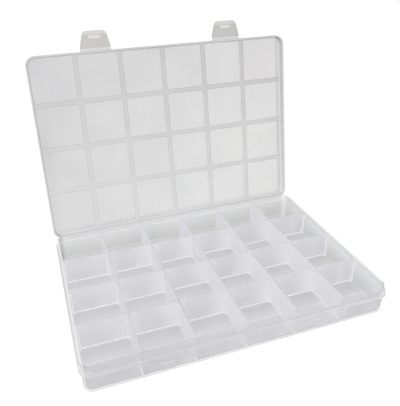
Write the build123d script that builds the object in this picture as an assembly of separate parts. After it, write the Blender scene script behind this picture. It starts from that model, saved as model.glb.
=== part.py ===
from build123d import *

import os
from math import cos, radians, sin, tan

# Compartment box with one hinged lid, 24 cells, moulded in translucent polypropylene.
# Origin: centre of the underside of the tray. +X right, +Y to the hinge, +Z up. Millimetres.

# ---- Driving dimensions -------------------------------------------------------------------
WIDTH = 196.5            # over the flange and over the lid
DEPTH = 135.0
CORNER_RADIUS = 7.0      # plan corners of the flange and the lid
TRAY_HEIGHT = 21.2       # top of the tray's outer wall
FLOOR = 1.3
COLUMNS = 6
ROWS = 4
PITCH_X = 32.0           # from one long wall to the next
PITCH_Y = 33.0           # from one row of dividers to the next
LID_OPEN_DEG = 100.0     # how far the lid stands open, from closed

# ---- Tray ---------------------------------------------------------------------------------
FOOT_INSET = 1.8         # outer wall at the floor, in from the flange's edge
SHOULDER_INSET = 1.1     # outer wall at the top of the flange
RIM_INSET = 1.6          # outer wall above the flange, where it stands inside the lid
FOOT_RADIUS = 1.2        # rounding under the outer wall
POCKET_INSET = 3.0       # inner face of the wall below the ledge
RIM_POCKET_INSET = 2.6   # inner face of the wall above the ledge
LEDGE_Z = 16.0           # inner ledge, and the top of the flange
FLANGE_BOTTOM = 12.8
FLANGE_CHAMFER = 0.5
RIM_ROUND = 0.45
LONG_WALL = 1.2          # thickness of a long wall
LONG_WALL_TOP = 20.4
WALL_BITE = 0.4          # how far a long wall or a rib runs into the outer wall
RIB_REACH = 1.0          # guide rib, out from a long wall
RIB_THICK = 0.9
RIB_TOP = 19.0
SIDE_RIB_REACH = 1.2     # guide rib, out from a side wall

# ---- Dividers -----------------------------------------------------------------------------
DIVIDER_THICK = 1.2
DIVIDER_TOP = 20.3
DIVIDER_LIFT = 0.05      # clearance under a divider
DIVIDER_END_GAP = 0.2    # clearance at each end of a divider
DIVIDER_SIDE_GAP = 0.15  # clearance between a divider and a guide rib
DIVIDER_CORNER = 1.2

# ---- Lid, given closed --------------------------------------------------------------------
LID_WALL = 1.2           # thickness of the skirt
LID_EDGE = 16.1          # free edge of the skirt
LID_PADS = 21.4          # inner face of the pads
LID_CHANNELS = 21.85     # inner face of the channels between the pads
LID_TOP = 22.6
LID_ROUND = 1.0
LID_FILLET = 1.0         # inside the skirt, where it meets the outer pads
PAD_PITCH_X = 32.0
PAD_PITCH_Y = 32.5
PAD_SHIFT_Y = -0.5       # the pads sit a little nearer to the latches than to the hinge
CHANNEL_WIDTH = 3.1
PAD_RADIUS = 2.2
PAD_EDGE = 0.3
RECESS_DEEP = 0.3        # the same pad, seen from outside
RECESS_MARGIN = 0.6
RECESS_BORDER = 3.4      # from the lid's edge to the outer recesses

# ---- Lid hinge ----------------------------------------------------------------------------
HINGE_Y = DEPTH / 2 + 0.5
HINGE_Z = 16.05
HINGE_LENGTH = 172.0
FILM = 0.45              # thickness of a hinge film

# ---- Latches, given with the lid closed ---------------------------------------------------
LATCH_X = 49.3
TAB_THICK = 1.1
TAB_LOW = LID_EDGE       # under face of a tab
TAB_START = 2.3          # out from the skirt: where the film ends and the tab begins
TAB_END = 13.8
TAB_BASE_WIDTH = 21.8
TAB_TIP_WIDTH = 16.4
TAB_CORNER = 2.5
SLOT_OUT = 9.6           # centre of the blind slot, out from the skirt
SLOT_WIDTH = 8.9
SLOT_TALL = 2.3
SLOT_DEEP = 0.85
LIP_REACH = 1.5          # finger lip along the tab's tip
LIP_RISE = 0.5
TAB_RIB_WIDTH = 0.9      # stiffening rib along each side of a tab

# ---- Catches on the tray's front wall -----------------------------------------------------
CATCH_Z = 8.1
CATCH_WIDTH = 7.4
CATCH_REACH_Y = -DEPTH / 2 - 0.45
CATCH_TIP_TALL = 1.0
CATCH_ROOT_RISE = 1.3
CATCH_UNDER = 0.7
BOSS_WIDTH = 10.0        # raised pad that a catch stands on
BOSS_LOW = 3.2
BOSS_HIGH = 9.6
BOSS_Y = -DEPTH / 2 + 0.65
BOSS_CORNER = 1.6


def rounded_block(inset, radius, low, high):
    """A block with rounded plan corners, its sides in from the flange's edge by inset."""
    sketch = Pos(0, 0, low) * RectangleRounded(WIDTH - 2 * inset, DEPTH - 2 * inset, radius)
    return extrude(sketch, amount=high - low)


def wall_inset(height):
    """Inset of the outer wall below the flange's top: it leans out a little to draw from its mould."""
    return FOOT_INSET + (SHOULDER_INSET - FOOT_INSET) * height / LEDGE_Z


def leaning_block(low, high):
    """The block inside the outer face of the wall, between two heights below the flange's top."""
    slices = []
    for height in (low, high):
        inset = wall_inset(height)
        outline = RectangleRounded(WIDTH - 2 * inset, DEPTH - 2 * inset, CORNER_RADIUS - inset)
        slices.append(Pos(0, 0, height) * outline)
    return loft(slices, ruled=True)


def long_wall_places():
    """X of each wall that runs from front to back."""
    return [(i - (COLUMNS - 2) / 2) * PITCH_X for i in range(COLUMNS - 1)]


def divider_row_places():
    """Y of each row of dividers."""
    return [(i - (ROWS - 2) / 2) * PITCH_Y for i in range(ROWS - 1)]


def column_span(column):
    """Left and right end of a column, between the faces of the walls beside it."""
    walls = long_wall_places()
    side = WIDTH / 2 - POCKET_INSET
    left = -side if column == 0 else walls[column - 1] + LONG_WALL / 2
    right = side if column == COLUMNS - 1 else walls[column] - LONG_WALL / 2
    return left, right


def pad_spans(count, pitch, shift, channel, reach):
    """Low and high end of each pad along one axis, the outer pads running out to reach."""
    middles = [(i - (count - 2) / 2) * pitch + shift for i in range(count - 1)]
    lows = [-reach] + [middle + channel / 2 for middle in middles]
    highs = [middle - channel / 2 for middle in middles] + [reach]
    return list(zip(lows, highs))


def pad_outlines(margin, border, radius):
    """Rounded outline over each cell, drawn in by margin beside a channel and by border at the lid's edge."""
    channel = CHANNEL_WIDTH + 2 * margin
    across = pad_spans(COLUMNS, PAD_PITCH_X, 0, channel, WIDTH / 2 - border)
    along = pad_spans(ROWS, PAD_PITCH_Y, PAD_SHIFT_Y, channel, DEPTH / 2 - border)
    return [
        Pos((left + right) / 2, (near + far) / 2) * RectangleRounded(right - left, far - near, radius)
        for left, right in across
        for near, far in along
    ]


def block(x_span, y_span, z_span):
    """A plain block from its limits along each axis."""
    size = [span[1] - span[0] for span in (x_span, y_span, z_span)]
    centre = [(span[0] + span[1]) / 2 for span in (x_span, y_span, z_span)]
    return Pos(*centre) * Box(*size)


# ---- Tray ---------------------------------------------------------------------------------
def tray_shell():
    """Floor, outer wall with its ledge and flange, open at the top."""
    shell = leaning_block(0, LEDGE_Z)
    shell = fillet(shell.edges().group_by(Axis.Z)[0], FOOT_RADIUS)
    flange = rounded_block(0, CORNER_RADIUS, FLANGE_BOTTOM, LEDGE_Z)
    flange = chamfer(flange.edges().group_by(Axis.Z)[0], FLANGE_CHAMFER)
    shell = shell + flange + rounded_block(RIM_INSET, CORNER_RADIUS - RIM_INSET, LEDGE_Z, TRAY_HEIGHT)
    shell -= rounded_block(POCKET_INSET, CORNER_RADIUS - POCKET_INSET, FLOOR, TRAY_HEIGHT + 1)
    shell -= rounded_block(RIM_POCKET_INSET, CORNER_RADIUS - RIM_POCKET_INSET, LEDGE_Z, TRAY_HEIGHT + 1)
    return fillet(shell.edges().group_by(Axis.Z)[-1], RIM_ROUND)


def long_walls():
    """The five walls that run from front to back."""
    half = DEPTH / 2 - RIM_POCKET_INSET + WALL_BITE
    return [
        block((x - LONG_WALL / 2, x + LONG_WALL / 2), (-half, half), (FLOOR - WALL_BITE, LONG_WALL_TOP))
        for x in long_wall_places()
    ]


def guide_ribs():
    """Pairs of upright ribs that hold the ends of the dividers."""
    ribs = []
    slot_half = DIVIDER_THICK / 2 + DIVIDER_SIDE_GAP
    side = WIDTH / 2 - POCKET_INSET
    for y in divider_row_places():
        spans = [(y + slot_half, y + slot_half + RIB_THICK), (y - slot_half - RIB_THICK, y - slot_half)]
        for y_span in spans:
            z_span = (FLOOR - WALL_BITE, RIB_TOP)
            for x in long_wall_places():
                reach = LONG_WALL / 2 + RIB_REACH
                ribs.append(block((x - reach, x + reach), y_span, z_span))
            ribs.append(block((-side - WALL_BITE, -side + SIDE_RIB_REACH), y_span, z_span))
            ribs.append(block((side - SIDE_RIB_REACH, side + WALL_BITE), y_span, z_span))
    return ribs


def catch_boss(x):
    """The raised pad on the front wall behind a catch."""
    height = BOSS_HIGH - BOSS_LOW
    outline = Rectangle(BOSS_WIDTH, height)
    outline = fillet(outline.vertices(), BOSS_CORNER)
    back = -DEPTH / 2 + wall_inset(BOSS_LOW) + WALL_BITE
    middle = Plane((x, BOSS_Y, (BOSS_LOW + BOSS_HIGH) / 2), x_dir=(1, 0, 0), z_dir=(0, -1, 0))
    return extrude(middle * outline, amount=BOSS_Y - back)


def catch(x):
    """A hooked nub on the front wall: a sloped top that a tab rides over and a flat underside."""
    root = -DEPTH / 2 + wall_inset(CATCH_Z) + WALL_BITE
    low = CATCH_Z - CATCH_UNDER
    profile = Polyline(
        (root, low),
        (CATCH_REACH_Y, low),
        (CATCH_REACH_Y, low + CATCH_TIP_TALL),
        (root, CATCH_Z + CATCH_ROOT_RISE),
        close=True,
    )
    sketch = Plane.YZ.offset(x - CATCH_WIDTH / 2) * make_face(profile)
    nub = extrude(sketch, amount=CATCH_WIDTH)
    return fillet(nub.edges().filter_by(Axis.Z).group_by(Axis.Y)[0], 0.3)


def make_tray():
    """The whole lower moulding."""
    catches = [shape(x) for x in (-LATCH_X, LATCH_X) for shape in (catch_boss, catch)]
    return tray_shell().fuse(*long_walls(), *guide_ribs(), *catches).clean()


# ---- Dividers -----------------------------------------------------------------------------
def make_divider(column, row):
    """A loose plate that stands between two walls, held at its ends by guide ribs."""
    left, right = column_span(column)
    low = FLOOR + DIVIDER_LIFT
    width = right - left - 2 * DIVIDER_END_GAP
    height = DIVIDER_TOP - low
    centre = Pos((left + right) / 2, divider_row_places()[row], (low + DIVIDER_TOP) / 2)
    plate = centre * Box(width, DIVIDER_THICK, height)
    return fillet(plate.edges().filter_by(Axis.Y), DIVIDER_CORNER)


# ---- Lid ----------------------------------------------------------------------------------
def opened(shape):
    """Turn a shape that is given with the lid closed to where the lid stands open."""
    axis = Axis((0, HINGE_Y, HINGE_Z), (-1, 0, 0))
    return shape.rotate(axis, LID_OPEN_DEG)


def make_lid():
    """Plate with a skirt all round and a pad over each cell, the pads parted by channels."""
    lid = rounded_block(0, CORNER_RADIUS, LID_EDGE, LID_TOP)
    lid = fillet(lid.edges().group_by(Axis.Z)[-1], LID_ROUND)
    pocket = rounded_block(LID_WALL, CORNER_RADIUS - LID_WALL, LID_EDGE - 1, LID_PADS)
    pocket = fillet(pocket.edges().group_by(Axis.Z)[-1], LID_FILLET)
    border = LID_WALL + LID_FILLET
    pads = []
    for outline in pad_outlines(0, border - 2 * PAD_EDGE, PAD_RADIUS):
        pad = extrude(Pos(0, 0, LID_PADS) * outline, amount=LID_CHANNELS - LID_PADS)
        pads.append(fillet(pad.edges().group_by(Axis.Z)[0], PAD_EDGE))
    channels = rounded_block(border, CORNER_RADIUS - border, LID_PADS, LID_CHANNELS).cut(*pads)
    recesses = [
        extrude(Pos(0, 0, LID_TOP) * outline, amount=-RECESS_DEEP)
        for outline in pad_outlines(RECESS_MARGIN, RECESS_BORDER, PAD_RADIUS - RECESS_MARGIN)
    ]
    return opened(lid.cut(pocket, channels, *recesses))


# ---- Hinge films --------------------------------------------------------------------------
def make_lid_hinge_web():
    """Thin strip that joins the tray's flange to the lid's skirt, given with the lid open."""
    edge = DEPTH / 2
    lean = radians(LID_OPEN_DEG)
    corner_y = edge - HINGE_Y
    corner_z = LID_EDGE - HINGE_Z
    skirt_y = HINGE_Y + corner_y * cos(lean) + corner_z * sin(lean)
    skirt_z = HINGE_Z - corner_y * sin(lean) + corner_z * cos(lean)
    along_y = 2 * FILM
    along_z = along_y / tan(lean)
    profile = Polyline(
        (edge, LEDGE_Z - 2 * FILM),
        (HINGE_Y, LEDGE_Z - 2 * FILM),
        (skirt_y + along_y, skirt_z + along_z - FILM),
        (skirt_y + along_y, skirt_z + along_z),
        (skirt_y, skirt_z),
        (edge, LEDGE_Z),
        close=True,
    )
    sketch = Plane.YZ.offset(-HINGE_LENGTH / 2) * make_face(profile)
    return extrude(sketch, amount=HINGE_LENGTH)


def make_latch_web(x):
    """Thin strip that joins the lid's skirt to a latch tab."""
    edge = -DEPTH / 2
    middle = TAB_LOW + TAB_THICK / 2
    web = block(
        (x - TAB_BASE_WIDTH / 2, x + TAB_BASE_WIDTH / 2),
        (edge - TAB_START, edge),
        (middle - FILM / 2, middle + FILM / 2),
    )
    return opened(web)


# ---- Latches ------------------------------------------------------------------------------
def tab_outline(shrink):
    """Plan of a tab, its edges drawn in by shrink at the sides and the tip."""
    start = -DEPTH / 2 - TAB_START
    end = -DEPTH / 2 - TAB_END + shrink
    base = TAB_BASE_WIDTH / 2 - shrink
    tip = TAB_TIP_WIDTH / 2 - shrink
    outline = make_face(Polyline((-base, start), (-tip, end), (tip, end), (base, start), close=True))
    return fillet(outline.vertices().group_by(Axis.Y)[0], TAB_CORNER)


def make_latch(x):
    """A tab with a blind slot for the catch, ribs along its sides and a finger lip at its tip."""
    tab = extrude(Pos(0, 0, TAB_LOW) * tab_outline(0), amount=TAB_THICK)
    rim = extrude(Pos(0, 0, TAB_LOW + TAB_THICK) * tab_outline(0), amount=LIP_RISE)
    inside = Pos(0, LIP_REACH - TAB_RIB_WIDTH, TAB_LOW + TAB_THICK) * tab_outline(TAB_RIB_WIDTH)
    rim_cut = extrude(inside, amount=LIP_RISE)
    slot = Pos(0, -DEPTH / 2 - SLOT_OUT, TAB_LOW) * SlotOverall(SLOT_WIDTH, SLOT_TALL)
    tab = tab + (rim - rim_cut) - extrude(slot, amount=SLOT_DEEP)
    return opened(Pos(x, 0, 0) * tab)


def main():
    """Write one STEP file for each piece."""
    pieces = {
        "tray": make_tray(),
        "lid": make_lid(),
        "lid_hinge_web": make_lid_hinge_web(),
        "latch_left": make_latch(-LATCH_X),
        "latch_right": make_latch(LATCH_X),
        "latch_left_web": make_latch_web(-LATCH_X),
        "latch_right_web": make_latch_web(LATCH_X),
    }
    for row in range(ROWS - 1):
        for column in range(COLUMNS):
            pieces[f"divider_r{row + 1}_c{column + 1}"] = make_divider(column, row)
    os.makedirs("parts", exist_ok=True)
    for name, piece in pieces.items():
        export_step(piece, f"parts/{name}.step")
        box = piece.bounding_box()
        print(f"{name:18s} volume {piece.volume:10.1f}  low {box.min}  high {box.max}")


if __name__ == "__main__":
    main()
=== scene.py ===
"""Translucent bead box: one hinged lid over a tray of twenty-four cells with lift-out dividers."""
import logging
import math
from contextlib import contextmanager
from dataclasses import dataclass
from enum import Enum
from typing import Callable, Iterator, Sequence

import bmesh
import bpy
from mathutils import Matrix, Vector


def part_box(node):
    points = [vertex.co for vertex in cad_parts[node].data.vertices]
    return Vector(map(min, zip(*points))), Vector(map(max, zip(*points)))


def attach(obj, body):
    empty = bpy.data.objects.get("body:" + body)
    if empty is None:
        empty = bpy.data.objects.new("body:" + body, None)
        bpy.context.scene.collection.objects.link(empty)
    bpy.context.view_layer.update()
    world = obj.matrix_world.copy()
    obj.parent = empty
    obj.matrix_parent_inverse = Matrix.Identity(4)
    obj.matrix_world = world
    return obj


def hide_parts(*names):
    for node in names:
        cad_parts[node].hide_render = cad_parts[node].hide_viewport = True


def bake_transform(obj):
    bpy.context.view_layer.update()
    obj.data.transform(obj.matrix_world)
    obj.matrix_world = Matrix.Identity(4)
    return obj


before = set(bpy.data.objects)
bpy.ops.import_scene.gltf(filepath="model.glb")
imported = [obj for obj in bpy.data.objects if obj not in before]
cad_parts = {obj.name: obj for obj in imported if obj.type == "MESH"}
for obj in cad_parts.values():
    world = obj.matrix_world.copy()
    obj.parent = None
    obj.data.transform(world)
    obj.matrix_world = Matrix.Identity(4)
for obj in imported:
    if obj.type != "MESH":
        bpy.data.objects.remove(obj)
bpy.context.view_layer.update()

LOG = logging.getLogger("bead_box")
MM = 0.001
IMAGE_WIDTH = 400
IMAGE_HEIGHT = 406
COLUMN = 32.0
ROW = 33.0
LATCH_X = 49.3
# How near counts as the same place and how far a cutter reaches past a face, in millimetres.
HAIR, TOUCH, BEYOND = 0.01, 0.1, 1.0
# How far a direction points along an axis.
BARELY, SLIGHTLY, PARTLY, HALFWAY, MOSTLY, SQUARELY = 0.1, 0.2, 0.3, 0.5, 0.7, 0.9
# The angles, in degrees, above which an edge is rounded and above which shading stays sharp.
ROUND_ABOVE, SHARP_ABOVE = 35, 32
# The colour sockets of a Mix node.
MIX_A, MIX_B, MIX_RESULT = 6, 7, 2
WHITE = (1, 1, 1)
Pair = tuple[float, float]
Colour = tuple[float, float, float]
Place = tuple[float, float, float]
Socket = bpy.types.NodeSocket
Material = bpy.types.Material
Piece = bpy.types.Object


class Part(Enum):
    """What a selection in edit mode is made of."""

    VERT = "verts"
    EDGE = "edges"
    FACE = "faces"


class Noise(Enum):
    """A noise's waves to the metre, how much finer it is along each axis, and its finer layers."""

    DEPTH = (38.0, (1, 1, 1), 2.0)
    DRIFT = (17.0, (1, 1, 1), 2.0)
    BLUSH = (13.0, (1, 1, 1.7), 2.0)
    WAVER = (90.0, (1, 1, 1), 2.0)
    STREAKS = (160.0, (1, 0.25, 1), 2.0)
    FLOW = (240.0, (1, 0.2, 0.6), 2.0)
    GRAIN = (2600.0, (1, 1, 1), 3.0)


@dataclass(frozen=True)
class Fade:
    """A smooth change from low to high, between two places on an axis or two parts of a pitch."""

    along: str
    start: float
    end: float
    low: float = 0.0
    high: float = 1.0


class Pattern(Enum):
    """Where a finish's painted shade lies over its milk colour, and the fades that say how."""

    PLAIN = ()
    # Painted shade, darker down a wall towards its foot.
    DOWN_A_WALL = (Fade("Z", 17.0, 2.0),)
    # Painted shade, darker towards the left.
    TO_THE_LEFT = (Fade("X", 110.0, -110.0),)
    # Painted shade, darker towards the top of the open lid.
    UP_THE_LID = (Fade("Z", -10.0, 175.0),)
    # Painted shade over the lid: darker to the left and the top, along the hinge edge and at both side
    # edges.
    OVER_THE_LID = (
        Fade("X", 130.0, -130.0, 0.0, 0.65),
        Fade("Z", -10.0, 175.0, 0.0, 0.35),
        Fade("Z", 22.5, 17.5, 0.0, 0.55),
        Fade("X", 92.4, 94.8, 0.0, 0.7),
        Fade("X", -86.0, -95.0, 0.0, 0.22),
    )
    # Painted shadow on the floor, darkest in front of each divider's foot, weaker to the back and a little
    # stronger at the front.
    BY_A_FOOT = (
        Fade("pitch", 0.55, 0.98),
        Fade("Y", -66.0, 66.0, 1.1, 0.5),
        Fade("Y", 0.0, -60.0, 0.0, 0.22),
    )
    # Painted shade on the front wall: darker to the left and in the right-hand column, lighter just left of
    # each long wall.
    BEFORE_A_WALL = (
        Fade("X", 110.0, -110.0),
        Fade("X", 64.0, 70.0, 0.0, 0.65),
        Fade("pitch", 0.84, 0.52, 0.45, 1.0),
    )
    # Painted shade on a divider: darker in the middle of each cell and lower down, and towards both ends of
    # the box.
    MID_CELL = (
        Fade("pitch", 0.0, 0.3),
        Fade("pitch", 0.92, 0.42),
        Fade("X", -40.0, -96.0, 0.0, 0.9),
        Fade("X", 78.0, 92.0),
        Fade("Z", 21.0, 4.0, 0.5, 1.0),
    )


# ---- Node helpers ----
class Shader:
    """The node tree of a material or a world, with short calls to add and join nodes."""

    def __init__(self, owner: Material | bpy.types.World) -> None:
        """Start an empty tree.

        Args:
            owner: the material or the world that the tree belongs to.
        """
        self.owner = owner
        owner.use_nodes = True
        self.tree = owner.node_tree
        self.tree.nodes.clear()

    def put(self, value: object, socket: Socket) -> None:
        """Link a socket to an input, or set the input to a plain value or colour.

        Args:
            value: a number, a colour, a vector or a socket.
            socket: the input.
        """
        if isinstance(value, bpy.types.NodeSocket):
            self.tree.links.new(value, socket)
        else:
            socket.default_value = (*value, 1) if socket.type == "RGBA" else value

    def add(self, kind: str, *terms: object, **values: object) -> bpy.types.Node:
        """Add a node and set its inputs or properties.

        Args:
            kind: the node's type name after ShaderNode.
            terms: what its first inputs get, in order.
            values: what inputs get by name, with underscores for spaces, or node properties.

        Returns:
            The new node.
        """
        node = self.tree.nodes.new(f"ShaderNode{kind}")
        for socket, term in zip(node.inputs, terms):
            self.put(term, socket)
        for key, value in values.items():
            socket = node.inputs.get(key.replace("_", " "))
            if socket is None:
                setattr(node, key, value)
            else:
                self.put(value, socket)
        return node

    def math(self, operation: str, *terms: object) -> Socket:
        """Add a Math node over numbers or sockets."""
        return self.add("Math", *terms, operation=operation).outputs[0]

    def mix_shader(self, share: object, first: Socket, second: Socket) -> Socket:
        """Blend two shaders by the second one's share."""
        return self.add("MixShader", share, first, second).outputs[0]

    def blend(self, share: object, first: object, second: object) -> Socket:
        """Mix two colours.

        Args:
            share: how much of the second, as a number or a socket.
            first: the first colour, or a socket.
            second: the second colour, or a socket.

        Returns:
            The mixed colour.
        """
        node = self.add("Mix", share, data_type="RGBA")
        self.put(first, node.inputs[MIX_A])
        self.put(second, node.inputs[MIX_B])
        return node.outputs[MIX_RESULT]

    def cloud(self, noise: Noise) -> Socket:
        """Lay a noise over the object's own coordinates.

        Args:
            noise: which one.

        Returns:
            A value near 0.5.
        """
        scale, stretch, detail = noise.value
        point = self.add("TexCoord").outputs["Object"]
        turned = self.add("Mapping", Vector=point, Scale=stretch).outputs[0]
        return self.add("TexNoise", Vector=turned, Scale=scale, Detail=detail).outputs["Fac"]

    def place(self, axis: str) -> Socket:
        """One of the object's own coordinates, in millimetres."""
        point = self.add("TexCoord").outputs["Object"]
        return self.math("DIVIDE", self.add("SeparateXYZ", Vector=point).outputs[axis], MM)

    def part_of_pitch(self, axis: str, pitch: float) -> Socket:
        """How far a point lies from one repeat to the next, from 0 to 1."""
        return self.math("FRACT", self.math("DIVIDE", self.place(axis), pitch))

    def follow(self, fade: Fade, value: Socket | None = None) -> Socket:
        """Follow a fade.

        Args:
            fade: the change to make.
            value: what it depends on, where that isn't one of the object's own coordinates.

        Returns:
            The fade's value at a point.
        """
        value = self.place(fade.along) if value is None else value
        terms = (value, fade.start, fade.end, fade.low, fade.high)
        return self.add("MapRange", *terms, interpolation_type="SMOOTHSTEP").outputs[0]

    def spread(self, noise: Noise, low: float, high: float) -> Socket:
        """Stretch the middle of a noise, 0.3 to 0.7, over a range."""
        return self.add("MapRange", self.cloud(noise), 0.3, 0.7, low, high).outputs[0]

    def finish(self, surface: Socket) -> Material | bpy.types.World:
        """Join the surface to the output and hand the material or the world back."""
        self.add(f"Output{type(self.owner).__name__}", surface)
        return self.owner


@dataclass(frozen=True)
class Plastic:
    """Thin translucent polypropylene: part see-through, part milky, with a soft gloss. Its milk colour is
    partly the plastic's own tone and partly painted light and shade for the region it is given to; its shade
    colour is painted shade.
    """

    name: str
    milk: Colour
    drift: Colour
    clear: float
    # Where painted shade lies, and the painted shade colour.
    pattern: Pattern = Pattern.PLAIN
    shade: Colour = (0.0, 0.0, 0.0)
    blush: Colour | None = None
    both_skins: bool = False
    roughness: Pair = (0.29, 0.41)
    thickness: Pair = (0.9, 1.1)
    refraction: float = 1.49
    glow_share: float = 0.45
    grain_share: float = 0.35
    blush_share: float = 0.9
    frost: float = 0.12
    frost_depth: float = 0.0004
    steepest: float = 0.16
    lets_light_by: float = 0.94
    slant: float = 0.0019
    waver: float = 0.08

    def shaded(self, shader: Shader) -> Socket:
        """Work out where the finish's painted shade lies.

        Args:
            shader: the material's nodes.

        Returns:
            How much of the painted shade colour there is at a point.
        """
        if self.pattern is Pattern.BY_A_FOOT:
            by_divider, to_back, to_front = self.pattern.value
            near = shader.follow(by_divider, shader.part_of_pitch("Y", ROW))
            near = shader.math("MULTIPLY", near, shader.follow(to_back))
            return shader.math("ADD", near, shader.follow(to_front))
        if self.pattern is Pattern.BEFORE_A_WALL:
            to_left, last_column, by_wall = self.pattern.value
            slant = shader.math("MULTIPLY", shader.place("X"), self.slant)
            across = shader.math("ADD", shader.part_of_pitch("X", COLUMN), slant)
            left = shader.math("MAXIMUM", shader.follow(to_left), shader.follow(last_column))
            return shader.math("MULTIPLY", left, shader.follow(by_wall, across))
        if self.pattern is Pattern.MID_CELL:
            *sides, left_end, right_end, down = self.pattern.value
            waver = shader.spread(Noise.WAVER, -self.waver, self.waver)
            across = shader.math("ADD", shader.part_of_pitch("X", COLUMN), waver)
            ends = shader.math("MAXIMUM", shader.follow(left_end), shader.follow(right_end))
            middle = shader.math("MULTIPLY", *(shader.follow(side, across) for side in sides))
            middle = shader.math("MAXIMUM", middle, ends)
            return shader.math("MULTIPLY", middle, shader.follow(down))
        total, *others = (shader.follow(fade) for fade in self.pattern.value)
        for other in others:
            total = shader.math("ADD", total, other)
        return total

    def make(self) -> Material:
        """Build the material.

        Returns:
            The material. Without both_skins only a wall's outward skin is seen, so that it counts once.
        """
        shader = Shader(bpy.data.materials.new(self.name))
        facing = shader.add("LayerWeight", Blend=0.5).outputs["Facing"]
        cosine = shader.math("MAXIMUM", shader.math("SUBTRACT", 1.0, facing), self.steepest)
        depth = shader.math("DIVIDE", shader.spread(Noise.DEPTH, *self.thickness), cosine)
        clear = shader.math("POWER", self.clear, depth)
        rays = shader.add("LightPath").outputs
        light = shader.math("MAXIMUM", rays["Is Shadow Ray"], rays["Is Diffuse Ray"])
        clear = shader.math("MAXIMUM", clear, shader.math("MULTIPLY", light, self.lets_light_by))
        colour = shader.blend(shader.spread(Noise.DRIFT, 0.0, 1.0), self.milk, self.drift)
        if self.blush:
            share = shader.spread(Noise.BLUSH, 0.0, self.blush_share)
            colour = shader.blend(share, colour, self.blush)
        # Lay the painted shade colour over the milk colour where the finish puts it.
        if self.pattern is not Pattern.PLAIN:
            colour = shader.blend(self.shaded(shader), colour, self.shade)
        rough = shader.spread(Noise.STREAKS, *self.roughness)
        grain = shader.math("MULTIPLY", shader.cloud(Noise.GRAIN), self.grain_share)
        grain = shader.math("ADD", grain, shader.cloud(Noise.FLOW))
        frost = {"Height": grain, "Strength": self.frost, "Distance": self.frost_depth}
        bump = shader.add("Bump", **frost).outputs[0]
        gloss = {"Base_Color": colour, "Roughness": rough, "Normal": bump, "IOR": self.refraction}
        body = shader.add("BsdfPrincipled", **gloss).outputs[0]
        through = shader.add("BsdfTranslucent", Color=colour, Normal=bump).outputs[0]
        milk = shader.mix_shader(self.glow_share, body, through)
        window = shader.add("BsdfTransparent", Color=WHITE).outputs[0]
        wall = shader.mix_shader(clear, milk, window)
        if self.both_skins:
            return shader.finish(wall)
        inside = shader.add("NewGeometry").outputs["Backfacing"]
        return shader.finish(shader.mix_shader(inside, wall, window))


# Each finish is a lighter or darker copy of the one plastic for a region of faces: its milk tone is partly
# painted light and shade for that region, its shade colour is painted shade, and only the drift and blush
# tints vary the plastic's own colour.
TRAY_SHELL = Plastic("tray_shell", (0.66, 0.66, 0.68), (0.68, 0.68, 0.7), 0.88)
# Painted shade: the floor is a darker copy, with a painted shadow in front of each divider's foot.
TRAY_FLOOR = Plastic(
    "tray_floor", (0.67, 0.662, 0.71), (0.69, 0.685, 0.72), 0.46, Pattern.BY_A_FOOT, (0.5, 0.495, 0.545)
)
# Painted light: the long walls and guide ribs are a lighter copy.
TRAY_INNER = Plastic("tray_inner", (0.9, 0.895, 0.94), (0.91, 0.91, 0.945), 0.42)
# Painted shade: the outer wall's inner side is a darker copy, darker still towards its foot.
TRAY_LINING = Plastic(
    "tray_lining", (0.64, 0.64, 0.64), (0.62, 0.63, 0.65), 0.38, Pattern.DOWN_A_WALL, (0.46, 0.465, 0.46)
)
# Painted light and shade: a lighter copy for the right wall's inner side, darker towards its foot.
TRAY_RIGHT = Plastic(
    "tray_right", (0.76, 0.76, 0.77), (0.74, 0.75, 0.77), 0.38, Pattern.DOWN_A_WALL, (0.6, 0.605, 0.6)
)
# Painted light: lighter copies for the rim's inner side and its back, whose painted shade grows to the left.
TRAY_RIM = Plastic("tray_rim", (0.8, 0.8, 0.81), (0.82, 0.82, 0.83), 0.25)
RIM_BACK = Plastic(
    "rim_back", (0.86, 0.86, 0.87), (0.87, 0.87, 0.88), 0.25, Pattern.TO_THE_LEFT, (0.78, 0.78, 0.79)
)
# Painted highlight along the top of the rim.
RIM_TOP = Plastic("rim_top", (0.9, 0.9, 0.92), (0.91, 0.91, 0.93), 0.6)
# Painted light and shade on the flange's top: a lighter copy round the outside, a darker one at both ends
# and along the front.
TRAY_EDGE = Plastic("tray_edge", (0.84, 0.84, 0.86), (0.86, 0.86, 0.88), 0.3)
FLANGE_TOP = Plastic("flange_top", (0.7, 0.7, 0.72), (0.72, 0.72, 0.74), 0.4)
# Painted light under the flange, which faces down.
FLANGE_UNDER = Plastic("flange_under", (0.84, 0.84, 0.86), (0.86, 0.86, 0.88), 0.85)
WALL_TOP = Plastic("wall_top", (0.86, 0.86, 0.9), (0.87, 0.87, 0.91), 0.2)
# Painted shade on the front wall below the flange: darker to the left and in the right-hand column, lighter
# just left of each long wall.
FRONT_LOW = Plastic(
    "front_low", (0.9, 0.885, 0.96), (0.91, 0.895, 0.965), 0.72, Pattern.BEFORE_A_WALL, (0.6, 0.585, 0.655)
)
# Painted shade: a dark copy for the rounded foot of the front wall.
FRONT_FOOT = Plastic("front_foot", (0.34, 0.34, 0.345), (0.36, 0.36, 0.36), 0.8)
# Painted shade towards the left on the front of the rim and of the flange, with lighter copies to the right.
FRONT_RIM = Plastic(
    "front_rim", (0.94, 0.93, 0.99), (0.95, 0.94, 0.99), 0.86, Pattern.TO_THE_LEFT, (0.42, 0.4, 0.46)
)
FLANGE_FRONT = Plastic(
    "flange_front", (0.97, 0.95, 1.0), (0.97, 0.96, 1.0), 0.74, Pattern.TO_THE_LEFT, (0.76, 0.74, 0.81)
)
# Painted shade: a darker copy on the tray's outer left side.
LEFT_SIDE = Plastic("left_side", (0.5, 0.5, 0.52), (0.52, 0.52, 0.54), 0.8)
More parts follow.
